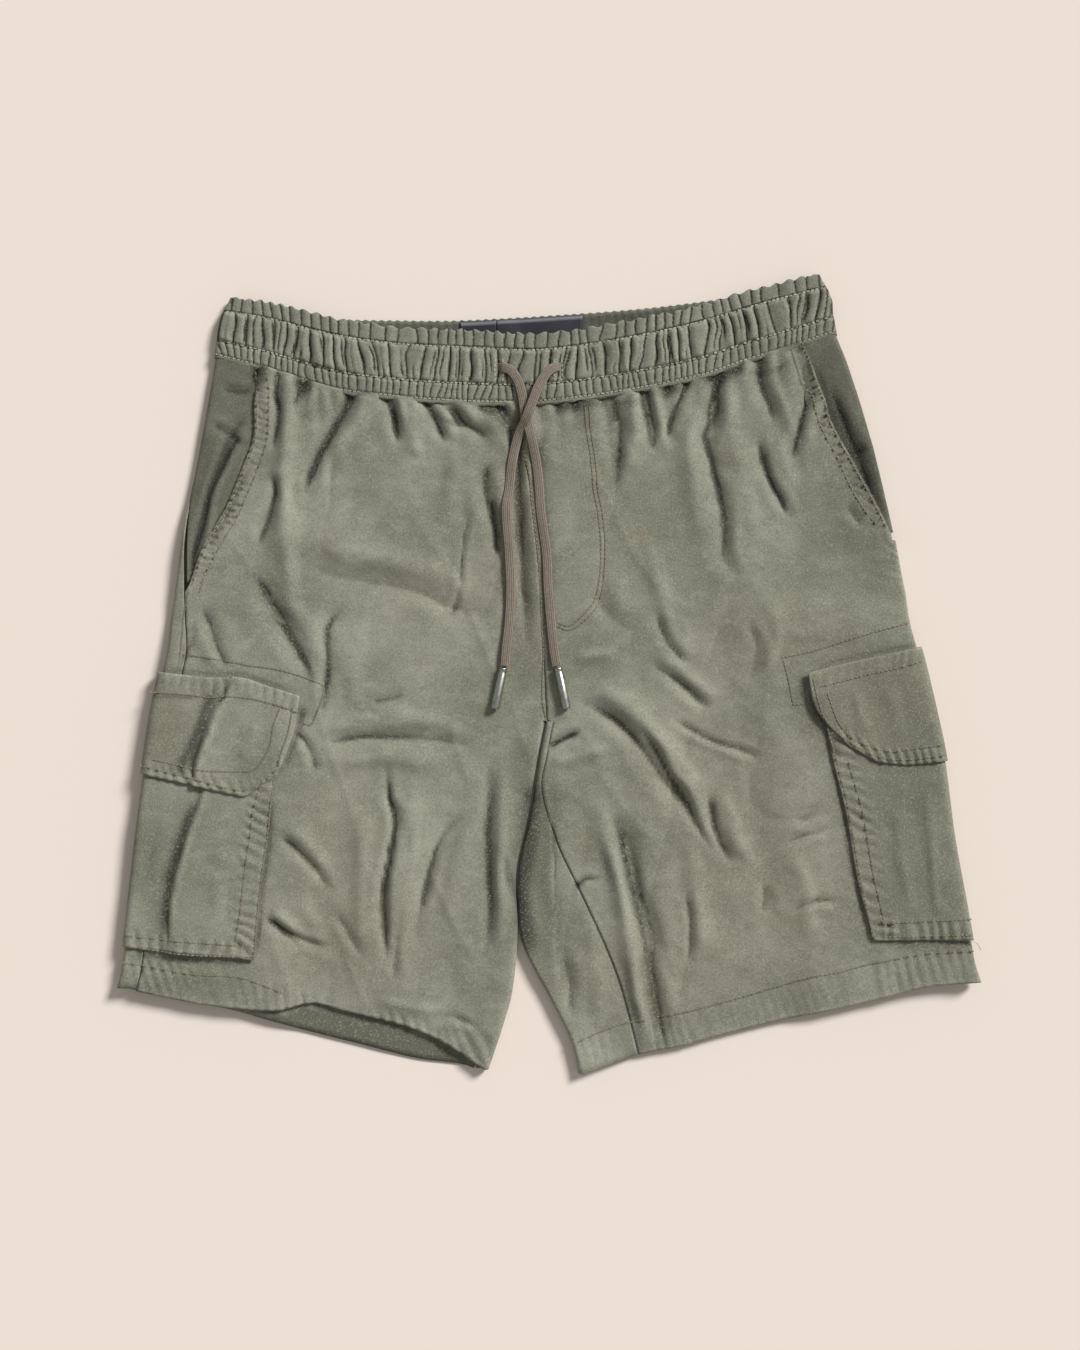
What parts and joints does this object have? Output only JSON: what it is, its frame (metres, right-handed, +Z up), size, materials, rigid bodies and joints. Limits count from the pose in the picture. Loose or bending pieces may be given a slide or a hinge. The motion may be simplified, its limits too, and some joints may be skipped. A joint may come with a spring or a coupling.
{
  "type": "cargo shorts",
  "caption": "Drawstring cargo shorts of faded olive twill, laid flat with the front up: gathered waistband, slanted hip pockets, flapped cargo pockets",
  "frame": {"origin": "centre of the garment on the surface it lies on, measured without the drawcord", "axes": "+X across the garment, +Y from hems to waist, +Z up, front of the garment upwards"},
  "size_m": [0.6028, 0.5572, 0.0143],
  "materials": {
    "twill": "washed cotton twill, faded olive",
    "drawcord": "flat ribbed cord, brown",
    "label": "woven label, navy, bare",
    "aglet": "satin metal tube"
  },
  "bodies": {
    "root": {"back_left": "twill", "back_right": "twill", "front_left": "twill", "front_right": "twill", "waistband_front": "twill", "waistband_back": "twill", "hip_facing_left": "twill", "hip_facing_right": "twill", "cargo_pocket_left": "twill", "cargo_pocket_right": "twill", "cargo_flap_left": "twill", "cargo_flap_right": "twill", "label_main": "label", "label_size": "label", "drawcord_left_hole": "drawcord", "drawcord_right_hole": "drawcord", "aglet_left": "aglet", "aglet_right": "aglet"}
  },
  "joints": []
}
